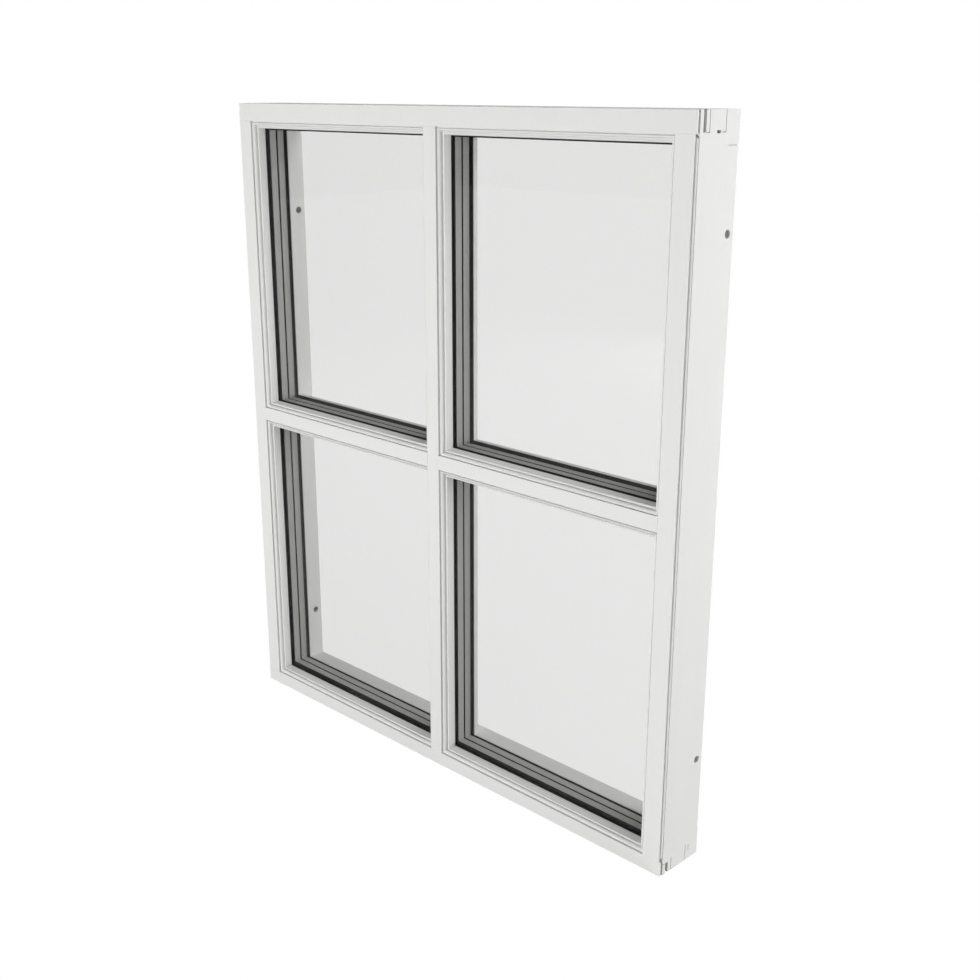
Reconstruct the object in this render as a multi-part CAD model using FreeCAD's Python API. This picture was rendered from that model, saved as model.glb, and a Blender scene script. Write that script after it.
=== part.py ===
"""Fixed picture window of four lights, sized in millimetres.

X runs across the window, Y from the front face to the back, Z upward.
The origin is the centre of the sill's underside.
"""
import os
import FreeCAD
import Part
from FreeCAD import Vector

# Overall size of the window.
WIDTH = 1188.0
HEIGHT = 1348.0
DEPTH = 114.0

# Visible front widths of the members.
HEAD_BAND = 36.0
SILL_BAND = 28.9
JAMB_BAND = 37.7
MULLION_BAND = 32.0
TRANSOM_BAND = 29.0

# The jamb cladding stands in from the side of the frame by this much.
JAMB_SET_IN = 3.9

# How far each member's back flange reaches into the light past its front band.
HEAD_REVEAL = 18.5
SILL_REVEAL = 25.7
JAMB_REVEAL = 27.4
MULLION_REVEAL = 24.6
TRANSOM_REVEAL = 22.0

# Depths measured back from the front face.
CLADDING_SKIN = 1.6
TIMBER_FRONT = 7.2
BEAD_BACK = 27.3
GASKET_THICK = 1.5
PANE = 4.0
CAVITY = 16.0
TAPE_THICK = 1.2
GLASS_FRONT = BEAD_BACK + GASKET_THICK
SECOND_PANE = GLASS_FRONT + PANE + CAVITY
THIRD_PANE = SECOND_PANE + PANE + CAVITY
GLASS_BACK = THIRD_PANE + PANE
REBATE_BACK = GLASS_BACK + TAPE_THICK
BAR_FLANGE = 11.5
BAR_BACK = REBATE_BACK + BAR_FLANGE

# Open mortise and tenon at the four corners of the frame.
TENON_FRONT = 32.5
TENON_BACK = REBATE_BACK + 2.5

# Channel milled along the top of the head and the underside of the sill.
CHAMBER_FRONT = 15.6
CHAMBER_BACK = 23.4
HEAD_CHAMBER_FLOOR = 1.5
SILL_CHAMBER_ROOF = 7.4

# In front of the tenons the jambs run on past the rebates to these shoulders.
HEAD_SHOULDER_DEEP = 1.8
SILL_SHOULDER_DEEP = 7.4

# Air groove milled along the head's rebate and out through its ends.
AIR_GROOVE_FRONT = 52.8
AIR_GROOVE_BACK = 62.8
AIR_GROOVE_DEEP = 4.8

# Fine open joints between head or sill and jamb, seen on the sides of the frame.
JOINT_WIDE = 1.6
JOINT_DEEP = 2.5
HEAD_CHEEK_JOINT_FROM = 85.0
SILL_JOINT_TALL = 26.3
SILL_BACK_JOINT_TALL = 33.8
SILL_NOTCH_AT = 86.0
SILL_NOTCH_LOW = 16.0
SILL_NOTCH_HIGH = 29.0

# Cladding details.
CLADDING_LEG_IN = 4.0
CLADDING_LEG_SHORT = 8.0
CLADDING_FOOT_OUT = 2.8
CLADDING_FOOT_FRONT = 5.2
CLADDING_FOOT_BACK = 6.4
CLADDING_FOOT_KERF = 2.0
CLADDING_FOOT_KERF_DEEP = 5.0
CLADDING_FOOT_KERF_STOP = 1.0
CLADDING_ARRIS = 0.6
BUTT_GAP = 0.1

# Glazing bead section, across from the front band's edge and back from the front.
BEAD_GROOVE = 2.4
BEAD_GROOVE_DEEP = 6.0
BEAD_NOSE = 2.4
BEAD_ROUND_START = 3.0
BEAD_ROUND_MID = (5.8, 4.6)
BEAD_ROUND_END = (7.0, 9.4)
BEAD_QUIRK_DEEP = 12.4
BEAD_QUIRK_WIDE = 2.6
BEAD_LEDGE = 10.7
BEAD_LEDGE_OUT = 12.2
BEAD_LEDGE_ROUND = 0.8
BEAD_FOOT = 13.4

# Along the top of a light the bead and the gasket lip are this much deeper.
TOP_BEAD_SHARE = 1.15

# Inner edge of the spacer bars, measured in from the front band's edge.
SIGHT_JAMB = 21.5
SIGHT_MULLION = 18.6
SIGHT_SILL = 24.3
SIGHT_TRANSOM = 15.7
SIGHT_TOP = 15.5
SPACER_TALL = 12.5

# Gasket and tape reach into the light.
GASKET_ROOT = 3.0
OUTER_LIP_ROOT = 13.0
OUTER_LIP_TIP = 14.5
OUTER_LIP_NOSE = 0.7
TAPE_SHORT = 0.6

# Blocks the glass stands on.
BLOCK_LONG = 100.0
BLOCK_FROM_CORNER = 60.0
BLOCK_SHORTER = 1.5

# Rounded arrises of the painted timber.
ARRIS_BACK = 2.0
ARRIS_SMALL = 1.0

# Fixing holes, through each jamb from the reveal to the side.
HOLE_DIAMETER = 14.5
HOLE_FROM_BACK = 17.0
LEFT_HOLE_LOW = 172.0
LEFT_HOLE_FROM_TOP = 225.0
RIGHT_HOLE_LOW = 204.0
RIGHT_HOLE_FROM_TOP = 193.0

HALF = WIDTH / 2.0
FRONT = -DEPTH / 2.0
HEAD_REBATE = HEIGHT - HEAD_BAND
JAMB_EDGE = HALF - JAMB_SET_IN
JAMB_REBATE = JAMB_EDGE - JAMB_BAND
LEG_FACE = JAMB_EDGE - CLADDING_LEG_IN
MULLION_HALF = MULLION_BAND / 2.0
TRANSOM_HALF = TRANSOM_BAND / 2.0
TRANSOM_MIDDLE = HEIGHT / 2.0
HEAD_SHOULDER = HEAD_REBATE + HEAD_SHOULDER_DEEP
SILL_SHOULDER = SILL_BAND - SILL_SHOULDER_DEEP
CLADDING_LOW = SILL_BAND + BUTT_GAP
CLADDING_HIGH = HEAD_REBATE - BUTT_GAP

# How far cutting tools run past the work.
OVERRUN = 1.0


def box(x0, x1, y0, y1, z0, z1):
    """Box between two corners, with Y measured back from the front face."""
    corner = Vector(x0, FRONT + y0, z0)
    return Part.makeBox(x1 - x0, y1 - y0, z1 - z0, corner)


def outline(corners, place, sharp=False):
    """Closed outline through (across, back, radius) corners, arced where a radius is given."""
    points = [place(across, back) for across, back, radius in corners]
    count = len(corners)
    starts = []
    ends = []
    arcs = []
    for index in range(count):
        here = points[index]
        radius = corners[index][2]
        if sharp or radius == 0.0:
            starts.append(here)
            ends.append(here)
            arcs.append(None)
            continue
        before = (points[index - 1] - here).normalize()
        after = (points[(index + 1) % count] - here).normalize()
        bisector = (before + after).normalize()
        cosine = before.dot(bisector)
        sine = (1.0 - cosine * cosine) ** 0.5
        reach = radius * cosine / sine
        starts.append(here + before * reach)
        ends.append(here + after * reach)
        arcs.append(here + bisector * (radius / sine - radius))
    edges = []
    for index in range(count):
        if arcs[index] is not None:
            edges.append(Part.Arc(starts[index], arcs[index], ends[index]).toShape())
        edges.append(Part.makeLine(ends[index], starts[(index + 1) % count]))
    return Part.Wire(edges)


def prism(wire, along):
    """Solid made by drawing a closed outline along a direction."""
    return Part.Face(wire).extrude(along)


def save(shape, name):
    """Write one piece to its own file."""
    shape.exportStep("parts/" + name + ".step")


def from_top(x):
    """Place a head section: across runs down from the top edge."""
    return lambda across, back: Vector(x, FRONT + back, HEIGHT - across)


def from_bottom(x):
    """Place a sill section: across runs up from the underside."""
    return lambda across, back: Vector(x, FRONT + back, across)


def from_side(side, edge, z):
    """Place an upright section: across runs inward from an edge on the given side."""
    return lambda across, back: Vector(side * (edge - across), FRONT + back, z)


def frame_corners(rebate, reveal):
    """Corners of an L section: a rebate for the glass and a flange behind it."""
    flange = rebate + reveal
    return [
        (0.0, TIMBER_FRONT, 0.0),
        (rebate, TIMBER_FRONT, 0.0),
        (rebate, REBATE_BACK, 0.0),
        (flange, REBATE_BACK, ARRIS_SMALL),
        (flange, DEPTH, ARRIS_SMALL),
        (0.0, DEPTH, ARRIS_BACK),
    ]


def bar_corners(half_band, reveal):
    """Corners of a T section: a web between two lights and a flange behind the glass."""
    flange = half_band + reveal
    return [
        (-half_band, TIMBER_FRONT, 0.0),
        (half_band, TIMBER_FRONT, 0.0),
        (half_band, REBATE_BACK, 0.0),
        (flange, REBATE_BACK, ARRIS_SMALL),
        (flange, BAR_BACK, ARRIS_SMALL),
        (-flange, BAR_BACK, ARRIS_SMALL),
        (-flange, REBATE_BACK, ARRIS_SMALL),
        (-half_band, REBATE_BACK, 0.0),
    ]


def cladding_corners(near, far):
    """Corners of a cladding channel: a thin front and two legs back to the timber."""
    skin = CLADDING_SKIN
    return [
        (near, 0.0, CLADDING_ARRIS),
        (far, 0.0, CLADDING_ARRIS),
        (far, TIMBER_FRONT, 0.0),
        (far - skin, TIMBER_FRONT, 0.0),
        (far - skin, skin, 0.0),
        (near + skin, skin, 0.0),
        (near + skin, TIMBER_FRONT, 0.0),
        (near, TIMBER_FRONT, 0.0),
    ]


def footed_cladding_corners(far):
    """Corners of the jamb's channel, whose outer leg ends in a foot past its front edge."""
    skin = CLADDING_SKIN
    leg = CLADDING_LEG_IN
    return [
        (0.0, 0.0, CLADDING_ARRIS),
        (far, 0.0, CLADDING_ARRIS),
        (far, TIMBER_FRONT, 0.0),
        (far - skin, TIMBER_FRONT, 0.0),
        (far - skin, skin, 0.0),
        (leg + skin, skin, 0.0),
        (leg + skin, TIMBER_FRONT, 0.0),
        (leg, TIMBER_FRONT, 0.0),
        (leg, CLADDING_FOOT_BACK, 0.0),
        (-CLADDING_FOOT_OUT, CLADDING_FOOT_BACK, 0.0),
        (-CLADDING_FOOT_OUT, CLADDING_FOOT_FRONT, 0.0),
        (leg, CLADDING_FOOT_FRONT, 0.0),
        (leg, skin, 0.0),
        (0.0, skin, 0.0),
    ]


def joint_lines(side):
    """Fine grooves along the open corner joints on one side of the frame."""
    x0, x1 = sorted((side * HALF, side * (HALF - JOINT_DEEP)))
    half = JOINT_WIDE / 2.0
    flange = HEAD_REBATE - HEAD_REVEAL
    lines = [
        (TENON_FRONT - half, TENON_FRONT + half, HEAD_SHOULDER, HEIGHT),
        (TENON_BACK - half, TENON_BACK + half, HEAD_SHOULDER, HEIGHT),
        (CHAMBER_BACK, TENON_FRONT + half, HEAD_SHOULDER - half, HEAD_SHOULDER + half),
        (AIR_GROOVE_BACK, TENON_BACK + half, HEAD_SHOULDER - half, HEAD_SHOULDER + half),
        (HEAD_CHEEK_JOINT_FROM, DEPTH, flange - half, flange + half),
        (TIMBER_FRONT, CHAMBER_FRONT, SILL_SHOULDER - half, SILL_SHOULDER + half),
        (TENON_FRONT - half, TENON_FRONT + half, 0.0, SILL_JOINT_TALL),
        (TENON_BACK - half, TENON_BACK + half, 0.0, SILL_BACK_JOINT_TALL),
        (SILL_NOTCH_AT - half, SILL_NOTCH_AT + half, SILL_NOTCH_LOW, SILL_NOTCH_HIGH),
    ]
    return [box(x0, x1, front, back, low, high) for front, back, low, high in lines]


def shoulders(low, high):
    """Steps in the head or sill, one at each end, that the jambs' front shoulders fill."""
    return [
        box(-HALF, -JAMB_REBATE, TIMBER_FRONT, TENON_FRONT, low, high),
        box(JAMB_REBATE, HALF, TIMBER_FRONT, TENON_FRONT, low, high),
    ]


def foot_mitre(side, end, turn, inner, outer, front, back, thick=0.0):
    """Block past the diagonal on which a jamb foot ends, or a kerf of that height along it.

    The diagonal leaves the member's end at the cladding's outer leg and falls to the side.
    """
    drop = LEG_FACE - outer
    far = end + turn * OVERRUN
    if thick:
        upper = [(outer, end + turn * (drop + thick)), (inner, end + turn * thick)]
    else:
        upper = [(outer, far), (inner, far)]
    profile = [(inner, end), (outer, end + turn * drop)] + upper
    corners = [Vector(side * x, FRONT + front, z) for x, z in profile]
    corners.append(corners[0])
    return prism(Part.makePolygon(corners), Vector(0.0, back - front, 0.0))


def build_timber():
    """Head, sill, jambs, mullion and transoms, each scribed to its neighbours."""
    along = Vector(WIDTH, 0.0, 0.0)
    tall = Vector(0.0, 0.0, HEIGHT)
    jamb_rebate = HALF - JAMB_REBATE
    head_corners = frame_corners(HEAD_BAND, HEAD_REVEAL)
    sill_corners = frame_corners(SILL_BAND, SILL_REVEAL)
    jamb_corners = frame_corners(jamb_rebate, JAMB_REVEAL)

    head = prism(outline(head_corners, from_top(-HALF)), along)
    sill = prism(outline(sill_corners, from_bottom(-HALF)), along)
    head_block = prism(outline(head_corners, from_top(-HALF), True), along)
    sill_block = prism(outline(sill_corners, from_bottom(-HALF), True), along)

    left_mortise = box(-HALF, -JAMB_REBATE, TENON_FRONT, TENON_BACK, 0.0, HEIGHT)
    right_mortise = box(JAMB_REBATE, HALF, TENON_FRONT, TENON_BACK, 0.0, HEIGHT)
    mortises = [left_mortise, right_mortise]
    head_ends = mortises + shoulders(HEAD_REBATE, HEAD_SHOULDER)
    sill_ends = mortises + shoulders(SILL_SHOULDER, SILL_BAND)
    head_block = head_block.cut(head_ends)
    sill_block = sill_block.cut(sill_ends)

    air_groove = box(
        -HALF,
        HALF,
        AIR_GROOVE_FRONT,
        AIR_GROOVE_BACK,
        HEAD_REBATE,
        HEAD_REBATE + AIR_GROOVE_DEEP,
    )
    head_chamber = box(
        -HALF,
        HALF,
        CHAMBER_FRONT,
        CHAMBER_BACK,
        HEAD_REBATE + HEAD_CHAMBER_FLOOR,
        HEIGHT + OVERRUN,
    )
    sill_chamber = box(
        -HALF,
        HALF,
        CHAMBER_FRONT,
        CHAMBER_BACK,
        -OVERRUN,
        SILL_BAND - SILL_CHAMBER_ROOF,
    )
    joints = joint_lines(-1.0) + joint_lines(1.0)
    save(head.cut(head_ends + joints + [air_groove, head_chamber]), "head")
    save(sill.cut(sill_ends + joints + [sill_chamber]), "sill")

    jamb_blocks = []
    for side, name, heights in (
        (-1.0, "left_jamb", (LEFT_HOLE_LOW, HEIGHT - LEFT_HOLE_FROM_TOP)),
        (1.0, "right_jamb", (RIGHT_HOLE_LOW, HEIGHT - RIGHT_HOLE_FROM_TOP)),
    ):
        jamb = prism(outline(jamb_corners, from_side(side, HALF, 0.0)), tall)
        jamb_blocks.append(prism(outline(jamb_corners, from_side(side, HALF, 0.0), True), tall))
        cutters = [head_block, sill_block, air_groove] + joint_lines(side)
        kerf_stop = HALF - CLADDING_FOOT_KERF_STOP
        kerf_back = TIMBER_FRONT + CLADDING_FOOT_KERF_DEEP
        for end, turn in ((CLADDING_LOW, -1.0), (CLADDING_HIGH, 1.0)):
            kerf = (LEG_FACE, kerf_stop, TIMBER_FRONT, kerf_back, CLADDING_FOOT_KERF)
            cutters.append(foot_mitre(side, end, turn, *kerf))
        for height in heights:
            start = Vector(side * (HALF + OVERRUN), FRONT + DEPTH - HOLE_FROM_BACK, height)
            through = jamb_rebate + JAMB_REVEAL + 2.0 * OVERRUN
            cutters.append(
                Part.makeCylinder(HOLE_DIAMETER / 2.0, through, start, Vector(-side, 0.0, 0.0))
            )
        save(jamb.cut(cutters), name)

    mullion_corners = bar_corners(MULLION_HALF, MULLION_REVEAL)
    mullion = prism(outline(mullion_corners, from_side(1.0, 0.0, 0.0)), tall)
    mullion_block = prism(outline(mullion_corners, from_side(1.0, 0.0, 0.0), True), tall)
    save(mullion.cut([head_block, sill_block]), "mullion")

    transom_corners = bar_corners(TRANSOM_HALF, TRANSOM_REVEAL)
    for start, name in ((-HALF, "left_transom"), (0.0, "right_transom")):
        wire = outline(
            transom_corners,
            lambda across, back, x=start: Vector(x, FRONT + back, TRANSOM_MIDDLE + across),
        )
        transom = prism(wire, Vector(HALF, 0.0, 0.0))
        save(transom.cut(jamb_blocks + [mullion_block]), name)


def build_cladding():
    """Thin front channels clipped over the timber, butted at their ends."""
    upright = Vector(0.0, 0.0, CLADDING_HIGH - CLADDING_LOW)
    along = Vector(JAMB_EDGE + HALF, 0.0, 0.0)
    legs_back = [
        box(-HALF, CLADDING_LEG_SHORT - JAMB_EDGE, CLADDING_SKIN, TIMBER_FRONT, 0.0, HEIGHT),
        box(HALF - CLADDING_LEG_SHORT, HALF, CLADDING_SKIN, TIMBER_FRONT, 0.0, HEIGHT),
    ]
    head_wire = outline(cladding_corners(0.0, HEAD_BAND), from_top(-JAMB_EDGE))
    save(prism(head_wire, along).cut(legs_back), "head_cladding")
    sill_wire = outline(cladding_corners(0.0, SILL_BAND), from_bottom(-JAMB_EDGE))
    save(prism(sill_wire, along).cut(legs_back), "sill_cladding")
    jamb_corners = footed_cladding_corners(JAMB_BAND)
    for side, name in ((-1.0, "left_jamb_cladding"), (1.0, "right_jamb_cladding")):
        wire = outline(jamb_corners, from_side(side, JAMB_EDGE, CLADDING_LOW))
        ends = []
        for end, turn in ((CLADDING_LOW, -1.0), (CLADDING_HIGH, 1.0)):
            ends.append(foot_mitre(side, end, turn, LEG_FACE, HALF, CLADDING_SKIN, TIMBER_FRONT))
        save(prism(wire, upright).cut(ends), name)
    mullion_corners = cladding_corners(0.0, MULLION_BAND)
    mullion = outline(mullion_corners, from_side(1.0, MULLION_HALF, CLADDING_LOW))
    save(prism(mullion, upright), "mullion_cladding")
    transom_corners = cladding_corners(-TRANSOM_HALF, TRANSOM_HALF)
    length = JAMB_REBATE - MULLION_HALF - 2.0 * BUTT_GAP
    left = -JAMB_REBATE + BUTT_GAP
    right = MULLION_HALF + BUTT_GAP
    for start, name in ((left, "left_transom_cladding"), (right, "right_transom_cladding")):
        wire = outline(
            transom_corners,
            lambda across, back, x=start: Vector(x, FRONT + back, TRANSOM_MIDDLE + across),
        )
        save(prism(wire, Vector(length, 0.0, 0.0)), name)


def bead_wire(x, share):
    """Moulded section of a glazing bead that lies along the bottom of a light."""
    def place(across, back):
        return Vector(x, FRONT + back, across * share)

    round_start = place(BEAD_ROUND_START, BEAD_NOSE)
    round_end = place(*BEAD_ROUND_END)
    quirk_out = BEAD_ROUND_END[0] + BEAD_QUIRK_WIDE
    ledge_turn = BEAD_LEDGE_OUT - BEAD_LEDGE_ROUND
    ledge_down = BEAD_LEDGE + BEAD_LEDGE_ROUND
    turn_middle = (1.0 - 0.5**0.5) * BEAD_LEDGE_ROUND
    straight = [
        round_end,
        place(BEAD_ROUND_END[0], BEAD_QUIRK_DEEP),
        place(quirk_out, BEAD_QUIRK_DEEP),
        place(quirk_out, BEAD_LEDGE),
        place(ledge_turn, BEAD_LEDGE),
    ]
    foot = [
        place(BEAD_LEDGE_OUT, ledge_down),
        place(BEAD_FOOT, BEAD_BACK),
        place(0.0, BEAD_BACK),
        place(0.0, BEAD_GROOVE_DEEP),
        place(BEAD_GROOVE, BEAD_GROOVE_DEEP),
        place(BEAD_GROOVE, BEAD_NOSE + BEAD_LEDGE_ROUND),
        round_start,
    ]
    ledge_middle = place(BEAD_LEDGE_OUT - turn_middle, BEAD_LEDGE + turn_middle)
    edges = [Part.Arc(round_start, place(*BEAD_ROUND_MID), round_end).toShape()]
    edges += Part.makePolygon(straight).Edges
    edges.append(Part.Arc(straight[-1], ledge_middle, foot[0]).toShape())
    edges += Part.makePolygon(foot).Edges
    return Part.Wire(edges)


def build_bead(length, share, first_slope, last_slope):
    """Bead along X from zero, standing on Z zero and mitred at both ends.

    A slope is how far a mitre runs along the bead for each unit it climbs.
    """
    bead = prism(bead_wire(0.0, share), Vector(length, 0.0, 0.0))
    reach = 2.0 * BEAD_FOOT
    near = FRONT - OVERRUN
    cutters = []
    for start, lean, slope in ((0.0, -1.0, first_slope), (length, 1.0, last_slope)):
        corners = [
            Vector(start, near, 0.0),
            Vector(start - lean * reach * slope, near, reach),
            Vector(start + lean * reach, near, reach),
            Vector(start + lean * reach, near, -OVERRUN),
            Vector(start, near, -OVERRUN),
            Vector(start, near, 0.0),
        ]
        cutters.append(prism(Part.makePolygon(corners), Vector(0.0, DEPTH, 0.0)))
    return bead.cut(cutters)


def ring(light, outer_edges, inner_edges, y0, y1):
    """Rectangular frame inside a light, between two sets of left, right, low, high edges."""
    x0, x1, z0, z1 = light
    left, right, low, high = outer_edges
    outer = box(x0 + left, x1 - right, y0, y1, z0 + low, z1 - high)
    left, right, low, high = inner_edges
    inner = box(x0 + left, x1 - right, y0 - OVERRUN, y1 + OVERRUN, z0 + low, z1 - high)
    return outer.cut(inner)


def outer_gasket(light):
    """Frame gasket between bead and glass, with a lip that thins toward the glass."""
    x0, x1, z0, z1 = light

    def rectangle(inset, back):
        top = z1 - inset * TOP_BEAD_SHARE
        corners = [
            Vector(x0 + inset, FRONT + back, z0 + inset),
            Vector(x1 - inset, FRONT + back, z0 + inset),
            Vector(x1 - inset, FRONT + back, top),
            Vector(x0 + inset, FRONT + back, top),
            Vector(x0 + inset, FRONT + back, z0 + inset),
        ]
        return Part.makePolygon(corners)

    body = box(
        x0 + GASKET_ROOT,
        x1 - GASKET_ROOT,
        BEAD_BACK,
        GLASS_FRONT,
        z0 + GASKET_ROOT,
        z1 - GASKET_ROOT,
    )
    nose = GLASS_FRONT - OUTER_LIP_NOSE
    slope = Part.makeLoft(
        [rectangle(OUTER_LIP_ROOT, BEAD_BACK), rectangle(OUTER_LIP_TIP, nose)], True, True
    )
    sight = prism(rectangle(OUTER_LIP_TIP, nose), Vector(0.0, OUTER_LIP_NOSE, 0.0))
    return body.cut([slope, sight])


def build_light(name, light, sights, reveals):
    """Beads, glass, spacers and gaskets of one light; returns the blocks under its glass."""
    x0, x1, z0, z1 = light
    width = x1 - x0
    height = z1 - z0
    middle = Vector((x0 + x1) / 2.0, 0.0, (z0 + z1) / 2.0)
    axis = Vector(0.0, 1.0, 0.0)
    share = TOP_BEAD_SHARE
    for edge, length, fall, turn, section in (
        ("bottom", width, height / 2.0, 0.0, (1.0, 1.0, 1.0)),
        ("left", height, width / 2.0, 90.0, (1.0, share, 1.0)),
        ("top", width, height / 2.0, 180.0, (share, 1.0 / share, 1.0 / share)),
        ("right", height, width / 2.0, 270.0, (1.0, 1.0, share)),
    ):
        bead = build_bead(length, *section)
        bead.translate(middle + Vector(-length / 2.0, 0.0, -fall))
        bead.rotate(middle, axis, turn)
        save(bead, name + "_bead_" + edge)

    left, right, low, high = [sight - SPACER_TALL for sight in sights]
    panes = []
    for back in (GLASS_FRONT, SECOND_PANE, THIRD_PANE):
        panes.append(box(x0 + left, x1 - right, back, back + PANE, z0 + low, z1 - high))
    save(Part.makeCompound(panes), name + "_glass")

    spacers = []
    for back in (GLASS_FRONT + PANE, SECOND_PANE + PANE):
        spacers.append(ring(light, (left, right, low, high), sights, back, back + CAVITY))
    save(Part.makeCompound(spacers), name + "_spacers")

    roots = [GASKET_ROOT] * 4
    tips = [reveal - TAPE_SHORT for reveal in reveals]
    tape = ring(light, roots, tips, GLASS_BACK, REBATE_BACK)
    save(Part.makeCompound([outer_gasket(light), tape]), name + "_gaskets")

    front = GLASS_FRONT + BLOCK_SHORTER
    back = GLASS_BACK - BLOCK_SHORTER
    blocks = []
    for start in (x0 + BLOCK_FROM_CORNER, x1 - BLOCK_FROM_CORNER - BLOCK_LONG):
        blocks.append(box(start, start + BLOCK_LONG, front, back, z0, z0 + low))
    return blocks


os.makedirs("parts", exist_ok=True)
build_timber()
build_cladding()
BLOCKS = []
LOWER = (SILL_BAND, TRANSOM_MIDDLE - TRANSOM_HALF)
UPPER = (TRANSOM_MIDDLE + TRANSOM_HALF, HEAD_REBATE)
LOWER_SIGHTS = (SIGHT_SILL, SIGHT_TOP)
UPPER_SIGHTS = (SIGHT_TRANSOM, SIGHT_TOP)
LOWER_REVEALS = (SILL_REVEAL, TRANSOM_REVEAL)
UPPER_REVEALS = (TRANSOM_REVEAL, HEAD_REVEAL)
for row, span, sights, reveals in (
    ("lower", LOWER, LOWER_SIGHTS, LOWER_REVEALS),
    ("upper", UPPER, UPPER_SIGHTS, UPPER_REVEALS),
):
    BLOCKS += build_light(
        row + "_left",
        (-JAMB_REBATE, -MULLION_HALF) + span,
        (SIGHT_JAMB, SIGHT_MULLION) + sights,
        (JAMB_REVEAL, MULLION_REVEAL) + reveals,
    )
    BLOCKS += build_light(
        row + "_right",
        (MULLION_HALF, JAMB_REBATE) + span,
        (SIGHT_MULLION, SIGHT_JAMB) + sights,
        (MULLION_REVEAL, JAMB_REVEAL) + reveals,
    )
save(Part.makeCompound(BLOCKS), "setting_blocks")
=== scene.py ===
"""Studio scene for the fixed picture window. Lengths are in metres, in the part's own frame."""

import math

import bpy
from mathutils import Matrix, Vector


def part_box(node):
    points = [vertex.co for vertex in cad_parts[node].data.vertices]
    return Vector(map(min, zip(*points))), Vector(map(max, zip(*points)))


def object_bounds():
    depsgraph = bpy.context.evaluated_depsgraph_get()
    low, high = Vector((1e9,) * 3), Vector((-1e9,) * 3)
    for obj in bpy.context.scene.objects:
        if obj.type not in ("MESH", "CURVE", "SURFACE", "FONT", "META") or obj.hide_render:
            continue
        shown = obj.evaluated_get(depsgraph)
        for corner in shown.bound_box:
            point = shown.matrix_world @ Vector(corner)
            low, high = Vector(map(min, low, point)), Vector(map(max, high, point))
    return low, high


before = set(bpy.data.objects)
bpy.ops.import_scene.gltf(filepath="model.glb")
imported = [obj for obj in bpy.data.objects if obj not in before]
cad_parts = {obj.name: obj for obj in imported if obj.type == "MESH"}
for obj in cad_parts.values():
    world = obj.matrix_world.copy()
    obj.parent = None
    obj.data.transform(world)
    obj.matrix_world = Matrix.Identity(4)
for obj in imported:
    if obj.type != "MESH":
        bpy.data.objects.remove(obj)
START_LOW, START_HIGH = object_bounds()
WINDOW_FRONT = START_LOW[1]
WINDOW_FOOT = START_LOW[2]

# Camera, fitted to the edges of the window in the photograph.
# Angles are in radians, the lens and the sensor in millimetres.
CAMERA_PLACE = (1.7705, -1.7228, 1.3794)
CAMERA_YAW = 0.77748
CAMERA_PITCH = -0.31292
CAMERA_LENS = 46.795
CAMERA_SENSOR = 36.0
CAMERA_SHIFT = (0.01023, 0.00999)
CAMERA_NEAREST = 0.05
CAMERA_FARTHEST = 60.0

# Light from all round: nothing at the horizon, weak overhead in front and strong overhead behind.
# It turns from front to rear between two values of its direction's Y.
HORIZON_LEVEL = 0.0
FRONT_LEVEL = 0.2
REAR_LEVEL = 0.95
TURN_TO_REAR = (-0.5, 0.5)

# Soft lights: the place, the point looked at, the width and height, and the power in watts.
SOFT_LIGHTS = {
    "key": {"place": (-0.1, -4.5, 0.66), "target": (0.0, 0.0, 0.5), "size": (4.5, 1.2), "power": 174.0},
    "rear": {"place": (1.5, 4.4, 0.9), "target": (0.0, 0.0, 0.5), "size": (3.2, 1.6), "power": 118.0},
    "flank": {"place": (4.2, 2.0, 1.2), "target": (0.0, 0.0, 0.6), "size": (2.4, 1.6), "power": 115.0},
    "top": {"place": (1.6, 1.6, 3.6), "target": (0.0, 0.0, 0.4), "size": (2.4, 1.6), "power": 70.0},
    "left": {"place": (-4.2, 0.0, 1.2), "target": (0.0, 0.0, 0.6), "size": (2.4, 1.6), "power": 60.0},
}

# Floor, a hair below the window's foot.
FLOOR_SIZE = 24.0
FLOOR_GAP = 0.0005
FLOOR_LEVEL = 0.45
FLOOR_ROUGHNESS = 0.9

# Colours are linear values. A mottled colour goes down to its darkest share between two stops.
WHITE = (1.0, 1.0, 1.0)
DARK_STOP = 0.3
LIGHT_STOP = 0.7

# Painted timber. Each relief is a strength and a depth.
WHITE_PAINT = (0.645, 0.645, 0.634)
PAINT_ROUGHNESS = 0.42
WHITE_SPECULAR = 0.3
GRAIN_SCALE = 22.0
GRAIN_DETAIL = 6.0
GRAIN_STRETCH = 0.08
GRAIN_DARKEST = 0.985
GRAIN_IN_RELIEF = 0.35
SPRAY_SCALE = 900.0
SPRAY_DETAIL = 2.0
PAINT_RELIEF = (0.06, 0.0004)

# Powder coat of the cladding and the beads.
WHITE_COAT = (0.78, 0.78, 0.77)
BEAD_WHITE = (0.815, 0.815, 0.805)
COAT_ROUGHNESS = 0.55
CLOUD_SCALE = 5.0
CLOUD_DETAIL = 2.0
CLOUD_DARKEST = 0.99
PEBBLE_SCALE = 1400.0
PEBBLE_DETAIL = 3.0
COAT_RELIEF = (0.08, 0.0003)

# Painted shade on the beads: the share of their colour left on the top beads and on the ledge beside the
# quirk, and where the ledge's painted shade fades in and out behind the window's front.
TOP_BEAD_SHADE = 0.88
SIDE_LEDGE_SHADE = 0.95
BOTTOM_LEDGE_SHADE = 0.73
LEDGE_SHADE_FADES_IN = (0.0104, 0.0106)
LEDGE_SHADE_FADES_OUT = (0.0114, 0.012)

# Glass, its gloss seen square on and what a grazing view adds, and how far a black band of painted shade
# shows below the top bead in each row of lights.
PANE_TINT = (0.976, 0.976, 0.975)
REFLECTION_TINT = (0.9, 0.92, 0.91)
GLASS_ROUGHNESS = 0.02
GLASS_GLOSS = 0.02
GRAZING_GLOSS = 0.3
GRAZING_BLEND = 0.5
GRAZING_POWER = 4.0
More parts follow.
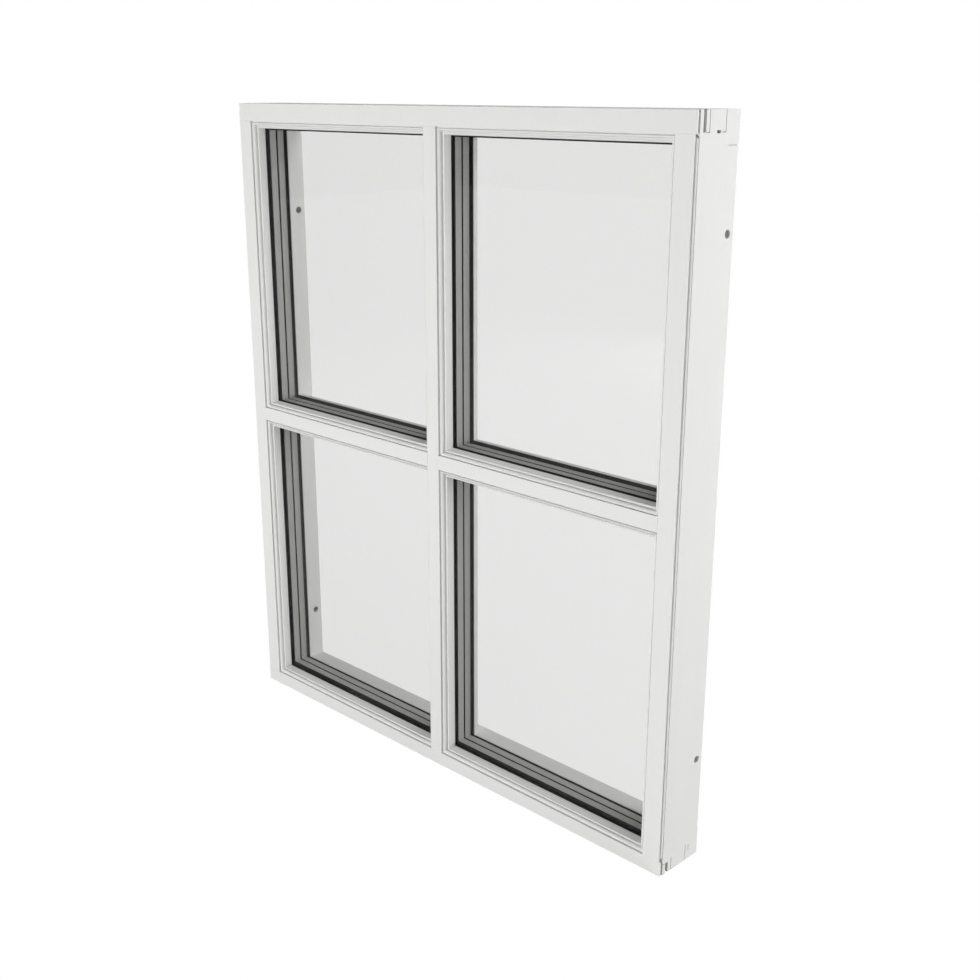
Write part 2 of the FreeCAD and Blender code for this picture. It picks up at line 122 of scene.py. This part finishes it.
# Black of the sealant on the spacer bars, also used for the band of painted shade on the glass.
SEALANT_AND_SHADE_BLACK = (0.012, 0.012, 0.013)
SHADE_BAND_SHOWS = {"lower": 0.0, "upper": 0.0027}

# Spacer bars.
SPACER_GREY = (0.335, 0.335, 0.328)
SPACER_ROUGHNESS = 0.5
SPECKLE_SCALE = 700.0
SPECKLE_DETAIL = 2.0
SPECKLE_DARKEST = 0.93

# Gasket rubber and the plastic of the setting blocks.
RUBBER_BLACK = (0.03, 0.03, 0.029)
RUBBER_SCALE = 500.0
RUBBER_ROUGHNESS = 0.6
BLOCK_GREY = (0.05, 0.05, 0.05)
BLOCK_SCALE = 300.0
BLOCK_ROUGHNESS = 0.5
MOTTLE_DETAIL = 4.0
MOTTLE_DARKEST = 0.8
MOTTLE_RELIEF = (0.1, 0.0003)


def shade(colour, share):
    """The colour made darker, down to a share of itself."""
    return tuple(channel * share for channel in colour)


def opaque(colour):
    """The colour with full cover."""
    return (*colour, 1.0)


def feed(tree, socket, value):
    """Link another node's output to a socket, or set the socket to a plain value."""
    if isinstance(value, bpy.types.NodeSocket):
        tree.links.new(value, socket)
    else:
        socket.default_value = value


def arithmetic(tree, operation, *values):
    """Result of one step of arithmetic."""
    step = tree.nodes.new("ShaderNodeMath")
    step.operation = operation
    for socket, value in zip(step.inputs, values):
        feed(tree, socket, value)
    return step.outputs["Value"]


def mix_values(tree, kind, factor, first, second):
    """Number or colour that goes from the first to the second with the factor."""
    mix = tree.nodes.new("ShaderNodeMix")
    mix.data_type = kind
    feed(tree, mix.inputs["Factor"], factor)
    feed(tree, mix.inputs["A"], first)
    feed(tree, mix.inputs["B"], second)
    return mix.outputs["Result"]


def mix_shaders(tree, factor, first, second):
    """Shader that goes from the first to the second with the factor."""
    mix = tree.nodes.new("ShaderNodeMixShader")
    tree.links.new(factor, mix.inputs["Fac"])
    tree.links.new(first, mix.inputs[1])
    tree.links.new(second, mix.inputs[2])
    return mix.outputs["Shader"]


def map_range(tree, value, old_range, new_range):
    """Value moved from one range to another and held within it."""
    span = tree.nodes.new("ShaderNodeMapRange")
    span.inputs["From Min"].default_value, span.inputs["From Max"].default_value = old_range
    span.inputs["To Min"].default_value, span.inputs["To Max"].default_value = new_range
    tree.links.new(value, span.inputs["Value"])
    return span.outputs["Result"]


def axes(tree, source_kind, output_name):
    """X, Y and Z of a vector that a node gives."""
    source = tree.nodes.new(source_kind)
    split = tree.nodes.new("ShaderNodeSeparateXYZ")
    tree.links.new(source.outputs[output_name], split.inputs["Vector"])
    return split.outputs


def noise(tree, scale, detail, stretch=(1.0, 1.0, 1.0)):
    """Noise over the object's own coordinates, drawn out along the given axes."""
    place = tree.nodes.new("ShaderNodeTexCoord")
    mapping = tree.nodes.new("ShaderNodeMapping")
    mapping.inputs["Scale"].default_value = stretch
    texture = tree.nodes.new("ShaderNodeTexNoise")
    texture.inputs["Scale"].default_value = scale
    texture.inputs["Detail"].default_value = detail
    tree.links.new(place.outputs["Object"], mapping.inputs["Vector"])
    tree.links.new(mapping.outputs["Vector"], texture.inputs["Vector"])
    return texture.outputs["Fac"]


def mottle(tree, pattern, colour, darkest):
    """The colour, darkened by a pattern to no less than a share of itself."""
    ramp = tree.nodes.new("ShaderNodeValToRGB")
    dark, light = ramp.color_ramp.elements
    dark.position = DARK_STOP
    dark.color = opaque(shade(colour, darkest))
    light.position = LIGHT_STOP
    light.color = opaque(colour)
    tree.links.new(pattern, ramp.inputs["Fac"])
    return ramp.outputs["Color"]


def bump(tree, shader, pattern, strength, depth):
    """Fine relief of a surface."""
    relief = tree.nodes.new("ShaderNodeBump")
    relief.inputs["Strength"].default_value = strength
    relief.inputs["Distance"].default_value = depth
    tree.links.new(pattern, relief.inputs["Height"])
    tree.links.new(relief.outputs["Normal"], shader.inputs["Normal"])


def new_material(name):
    """Empty node material, with its tree and the socket for its surface."""
    material = bpy.data.materials.new(name)
    material.use_nodes = True
    tree = material.node_tree
    tree.nodes.clear()
    output = tree.nodes.new("ShaderNodeOutputMaterial")
    return material, tree, output.inputs["Surface"]


def new_finish(name, roughness):
    """Material of one shader, for paint, coat, metal, rubber or plastic."""
    material, tree, surface = new_material(name)
    shader = tree.nodes.new("ShaderNodeBsdfPrincipled")
    shader.inputs["Roughness"].default_value = roughness
    tree.links.new(shader.outputs["BSDF"], surface)
    return material, tree, shader


def paint(name, stretch):
    """White satin paint on planed timber: faint long grain under a fine spray texture."""
    material, tree, shader = new_finish(name, PAINT_ROUGHNESS)
    grain = noise(tree, GRAIN_SCALE, GRAIN_DETAIL, stretch)
    spray = noise(tree, SPRAY_SCALE, SPRAY_DETAIL)
    tree.links.new(mottle(tree, grain, WHITE_PAINT, GRAIN_DARKEST), shader.inputs["Base Color"])
    grain_and_spray = arithmetic(tree, "MULTIPLY_ADD", grain, GRAIN_IN_RELIEF, spray)
    bump(tree, shader, grain_and_spray, *PAINT_RELIEF)
    shader.inputs["Specular IOR Level"].default_value = WHITE_SPECULAR
    return material


def painted_ledge_shade(tree, colour, share):
    """The colour, darkened to a share of itself along the narrow ledge beside the bead's quirk: painted
    shade.
    """
    depth = axes(tree, "ShaderNodeTexCoord", "Object")["Y"]
    fade_in = [WINDOW_FRONT + behind for behind in LEDGE_SHADE_FADES_IN]
    fade_out = [WINDOW_FRONT + behind for behind in LEDGE_SHADE_FADES_OUT]
    before = map_range(tree, depth, fade_in, (1.0, share))
    past = map_range(tree, depth, fade_out, (share, 1.0))
    ledge_shaded = tree.nodes.new("ShaderNodeVectorMath")
    ledge_shaded.operation = "SCALE"
    tree.links.new(colour, ledge_shaded.inputs[0])
    tree.links.new(arithmetic(tree, "MAXIMUM", before, past), ledge_shaded.inputs["Scale"])
    return ledge_shaded.outputs["Vector"]


def powder_coat(name, colour, ledge_shade=1.0):
    """Matt powder coat on aluminium: an even fine pebble with barely any change of tone, and painted
    shade on a bead's ledge when the ledge share is below one.
    """
    material, tree, shader = new_finish(name, COAT_ROUGHNESS)
    coat = mottle(tree, noise(tree, CLOUD_SCALE, CLOUD_DETAIL), colour, CLOUD_DARKEST)
    if ledge_shade < 1.0:
        coat = painted_ledge_shade(tree, coat, ledge_shade)
    tree.links.new(coat, shader.inputs["Base Color"])
    bump(tree, shader, noise(tree, PEBBLE_SCALE, PEBBLE_DETAIL), *COAT_RELIEF)
    shader.inputs["Specular IOR Level"].default_value = WHITE_SPECULAR
    return material


def pane(row):
    """Clear float glass of one row of lights, with a black band of painted shade along its top."""
    material, tree, surface = new_material(f"{row}_pane")
    clear = tree.nodes.new("ShaderNodeBsdfTransparent")
    clear.inputs["Color"].default_value = opaque(PANE_TINT)
    gloss = tree.nodes.new("ShaderNodeBsdfGlossy")
    gloss.inputs["Roughness"].default_value = GLASS_ROUGHNESS
    gloss.inputs["Color"].default_value = opaque(REFLECTION_TINT)
    slant = tree.nodes.new("ShaderNodeLayerWeight")
    slant.inputs["Blend"].default_value = GRAZING_BLEND
    grazing = arithmetic(tree, "POWER", slant.outputs["Facing"], GRAZING_POWER)
    gloss_share = arithmetic(tree, "MULTIPLY_ADD", grazing, GRAZING_GLOSS, GLASS_GLOSS)
    glass = mix_shaders(tree, gloss_share, clear.outputs["BSDF"], gloss.outputs["BSDF"])
    # A black band of painted shade across the glass, from just below the top bead upward.
    shade_band = tree.nodes.new("ShaderNodeBsdfDiffuse")
    shade_band.inputs["Color"].default_value = opaque(SEALANT_AND_SHADE_BLACK)
    bead_low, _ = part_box(f"{row}_left_bead_top")
    height = axes(tree, "ShaderNodeTexCoord", "Object")["Z"]
    in_shade_band = arithmetic(tree, "GREATER_THAN", height, bead_low.z - SHADE_BAND_SHOWS[row])
    tree.links.new(mix_shaders(tree, in_shade_band, glass, shade_band.outputs["BSDF"]), surface)
    return material


def spacer_bar():
    """Grey spacer face toward the light, black sealant where the bar meets a pane."""
    material, tree, shader = new_finish("spacer", SPACER_ROUGHNESS)
    normal = axes(tree, "ShaderNodeNewGeometry", "True Normal")
    facing_pane = arithmetic(tree, "ABSOLUTE", normal["Y"])
    grey = mottle(tree, noise(tree, SPECKLE_SCALE, SPECKLE_DETAIL), SPACER_GREY, SPECKLE_DARKEST)
    colour = mix_values(tree, "RGBA", facing_pane, grey, opaque(SEALANT_AND_SHADE_BLACK))
    tree.links.new(colour, shader.inputs["Base Color"])
    return material


def dull(name, colour, scale, roughness):
    """Rubber or moulded plastic with a slight mottle and grain."""
    material, tree, shader = new_finish(name, roughness)
    grain = noise(tree, scale, MOTTLE_DETAIL)
    tree.links.new(mottle(tree, grain, colour, MOTTLE_DARKEST), shader.inputs["Base Color"])
    bump(tree, shader, grain, *MOTTLE_RELIEF)
    return material


def dress():
    """Give every node the finish of its kind, which the end of its name tells."""
    across = paint("timber_across", (GRAIN_STRETCH, 1.0, 1.0))
    upright = paint("timber_upright", (1.0, 1.0, GRAIN_STRETCH))
    # The side and bottom bead coats darken the ledge beside the quirk: painted shade.
    side_bead = powder_coat("side_bead_coat_ledge_shaded", BEAD_WHITE, SIDE_LEDGE_SHADE)
    # Each row's pane has its own band of painted shade under the top bead.
    lower_pane = pane("lower")
    upper_pane = pane("upper")
    finishes = {
        "head": across,
        "sill": across,
        "_transom": across,
        "_jamb": upright,
        "mullion": upright,
        "_cladding": powder_coat("cladding_coat", WHITE_COAT),
        "_bead_left": side_bead,
        "_bead_right": side_bead,
        "_bead_bottom": powder_coat("bottom_bead_coat_ledge_shaded", BEAD_WHITE, BOTTOM_LEDGE_SHADE),
        # The top beads take a darker copy of the bead coat: painted shade.
        "_bead_top": powder_coat("top_bead_shaded_coat", shade(BEAD_WHITE, TOP_BEAD_SHADE)),
        "lower_left_glass": lower_pane,
        "lower_right_glass": lower_pane,
        "upper_left_glass": upper_pane,
        "upper_right_glass": upper_pane,
        "_spacers": spacer_bar(),
        "_gaskets": dull("gasket_rubber", RUBBER_BLACK, RUBBER_SCALE, RUBBER_ROUGHNESS),
        "setting_blocks": dull("block_plastic", BLOCK_GREY, BLOCK_SCALE, BLOCK_ROUGHNESS),
    }
    for name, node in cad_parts.items():
        finish = next(finishes[ending] for ending in finishes if name.endswith(ending))
        for slot in node.material_slots:
            slot.material = finish


def floor_finish():
    """White to the eye and in glass; a plain pale surface to every other ray."""
    material, tree, surface = new_material("floor_white")
    plain = tree.nodes.new("ShaderNodeBsdfPrincipled")
    plain.inputs["Base Color"].default_value = opaque(shade(WHITE, FLOOR_LEVEL))
    plain.inputs["Roughness"].default_value = FLOOR_ROUGHNESS
    glow = tree.nodes.new("ShaderNodeEmission")
    glow.inputs["Strength"].default_value = 1.0
    path = tree.nodes.new("ShaderNodeLightPath")
    seen = arithmetic(tree, "MAXIMUM", path.outputs["Is Camera Ray"], path.outputs["Is Transmission Ray"])
    mix = mix_shaders(tree, seen, plain.outputs["BSDF"], glow.outputs["Emission"])
    tree.links.new(mix, surface)
    return material


def build_floor():
    """Pale floor under the window."""
    bpy.ops.mesh.primitive_plane_add(size=FLOOR_SIZE, location=(0.0, 0.0, WINDOW_FOOT - FLOOR_GAP))
    floor = bpy.context.object
    floor.name = "studio_floor"
    floor.data.materials.append(floor_finish())


def build_world():
    """Light from overhead, stronger behind the window than in front, and pure white to the camera."""
    world = bpy.data.worlds.new("studio")
    bpy.context.scene.world = world
    world.use_nodes = True
    tree = world.node_tree
    tree.nodes.clear()
    direction = axes(tree, "ShaderNodeTexCoord", "Generated")
    behind = map_range(tree, direction["Y"], TURN_TO_REAR, (0.0, 1.0))
    front = map_range(tree, direction["Z"], (0.0, 1.0), (HORIZON_LEVEL, FRONT_LEVEL))
    rear = map_range(tree, direction["Z"], (0.0, 1.0), (HORIZON_LEVEL, REAR_LEVEL))
    ambient = tree.nodes.new("ShaderNodeBackground")
    ambient.inputs["Color"].default_value = opaque(WHITE)
    tree.links.new(mix_values(tree, "FLOAT", behind, front, rear), ambient.inputs["Strength"])
    seen = tree.nodes.new("ShaderNodeBackground")
    seen.inputs["Color"].default_value = opaque(WHITE)
    path = tree.nodes.new("ShaderNodeLightPath")
    to_camera = path.outputs["Is Camera Ray"]
    mix = mix_shaders(tree, to_camera, ambient.outputs["Background"], seen.outputs["Background"])
    output = tree.nodes.new("ShaderNodeOutputWorld")
    tree.links.new(mix, output.inputs["Surface"])


def area_light(name, place, target, size, power):
    """Rectangular soft light aimed at a point, which neither the camera nor a reflection shows."""
    data = bpy.data.lights.new(name, "AREA")
    data.shape = "RECTANGLE"
    data.size, data.size_y = size
    data.energy = power
    light = bpy.data.objects.new(name, data)
    bpy.context.collection.objects.link(light)
    light.location = place
    aim = [goal - here for goal, here in zip(target, place)]
    flat = math.hypot(aim[0], aim[1])
    light.rotation_euler = (math.atan2(flat, -aim[2]), 0.0, math.atan2(-aim[0], aim[1]))
    light.visible_camera = False
    light.visible_glossy = False


def build_camera():
    """Camera at the photograph's place."""
    data = bpy.data.cameras.new("photo_camera")
    data.sensor_width = CAMERA_SENSOR
    data.lens = CAMERA_LENS
    data.shift_x, data.shift_y = CAMERA_SHIFT
    data.clip_start = CAMERA_NEAREST
    data.clip_end = CAMERA_FARTHEST
    camera = bpy.data.objects.new("photo_camera", data)
    bpy.context.collection.objects.link(camera)
    camera.location = CAMERA_PLACE
    camera.rotation_euler = (math.pi / 2.0 + CAMERA_PITCH, 0.0, CAMERA_YAW)
    bpy.context.scene.camera = camera


dress()
build_floor()
build_world()
for light_name, settings in SOFT_LIGHTS.items():
    area_light(light_name, **settings)
build_camera()
bpy.context.scene.view_settings.view_transform = "Standard"
